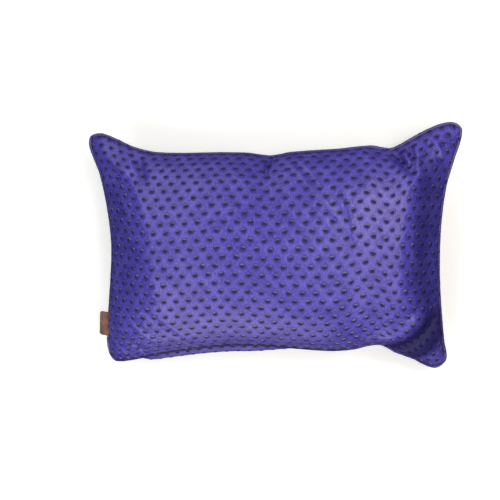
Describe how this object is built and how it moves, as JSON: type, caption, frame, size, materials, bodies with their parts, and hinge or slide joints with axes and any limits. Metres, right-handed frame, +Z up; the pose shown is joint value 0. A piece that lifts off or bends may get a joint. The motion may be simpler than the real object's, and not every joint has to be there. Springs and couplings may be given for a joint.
{
  "type": "piped embroidered cushion",
  "caption": "Filled rectangular cushion in satin with a crowned front, drawn-in sides, pointed ears, piped seam and a small side tab.",
  "frame": {"origin": "middle of the footprint, on the surface that the cushion's back rests on", "axes": "+X along the long side, +Y towards the top edge of the face, +Z up out of the face"},
  "size_m": [0.588, 0.3974, 0.1555],
  "materials": {
    "satin": "purple satin with a staggered repeat of raised charcoal embroidered knots",
    "piping_satin": "the same satin wrapped round a cord",
    "tab_leather": "smooth matt brown leather, bare"
  },
  "bodies": {
    "root": {"cushion": "satin", "piping": "piping_satin", "label_tab": "tab_leather"}
  },
  "joints": []
}
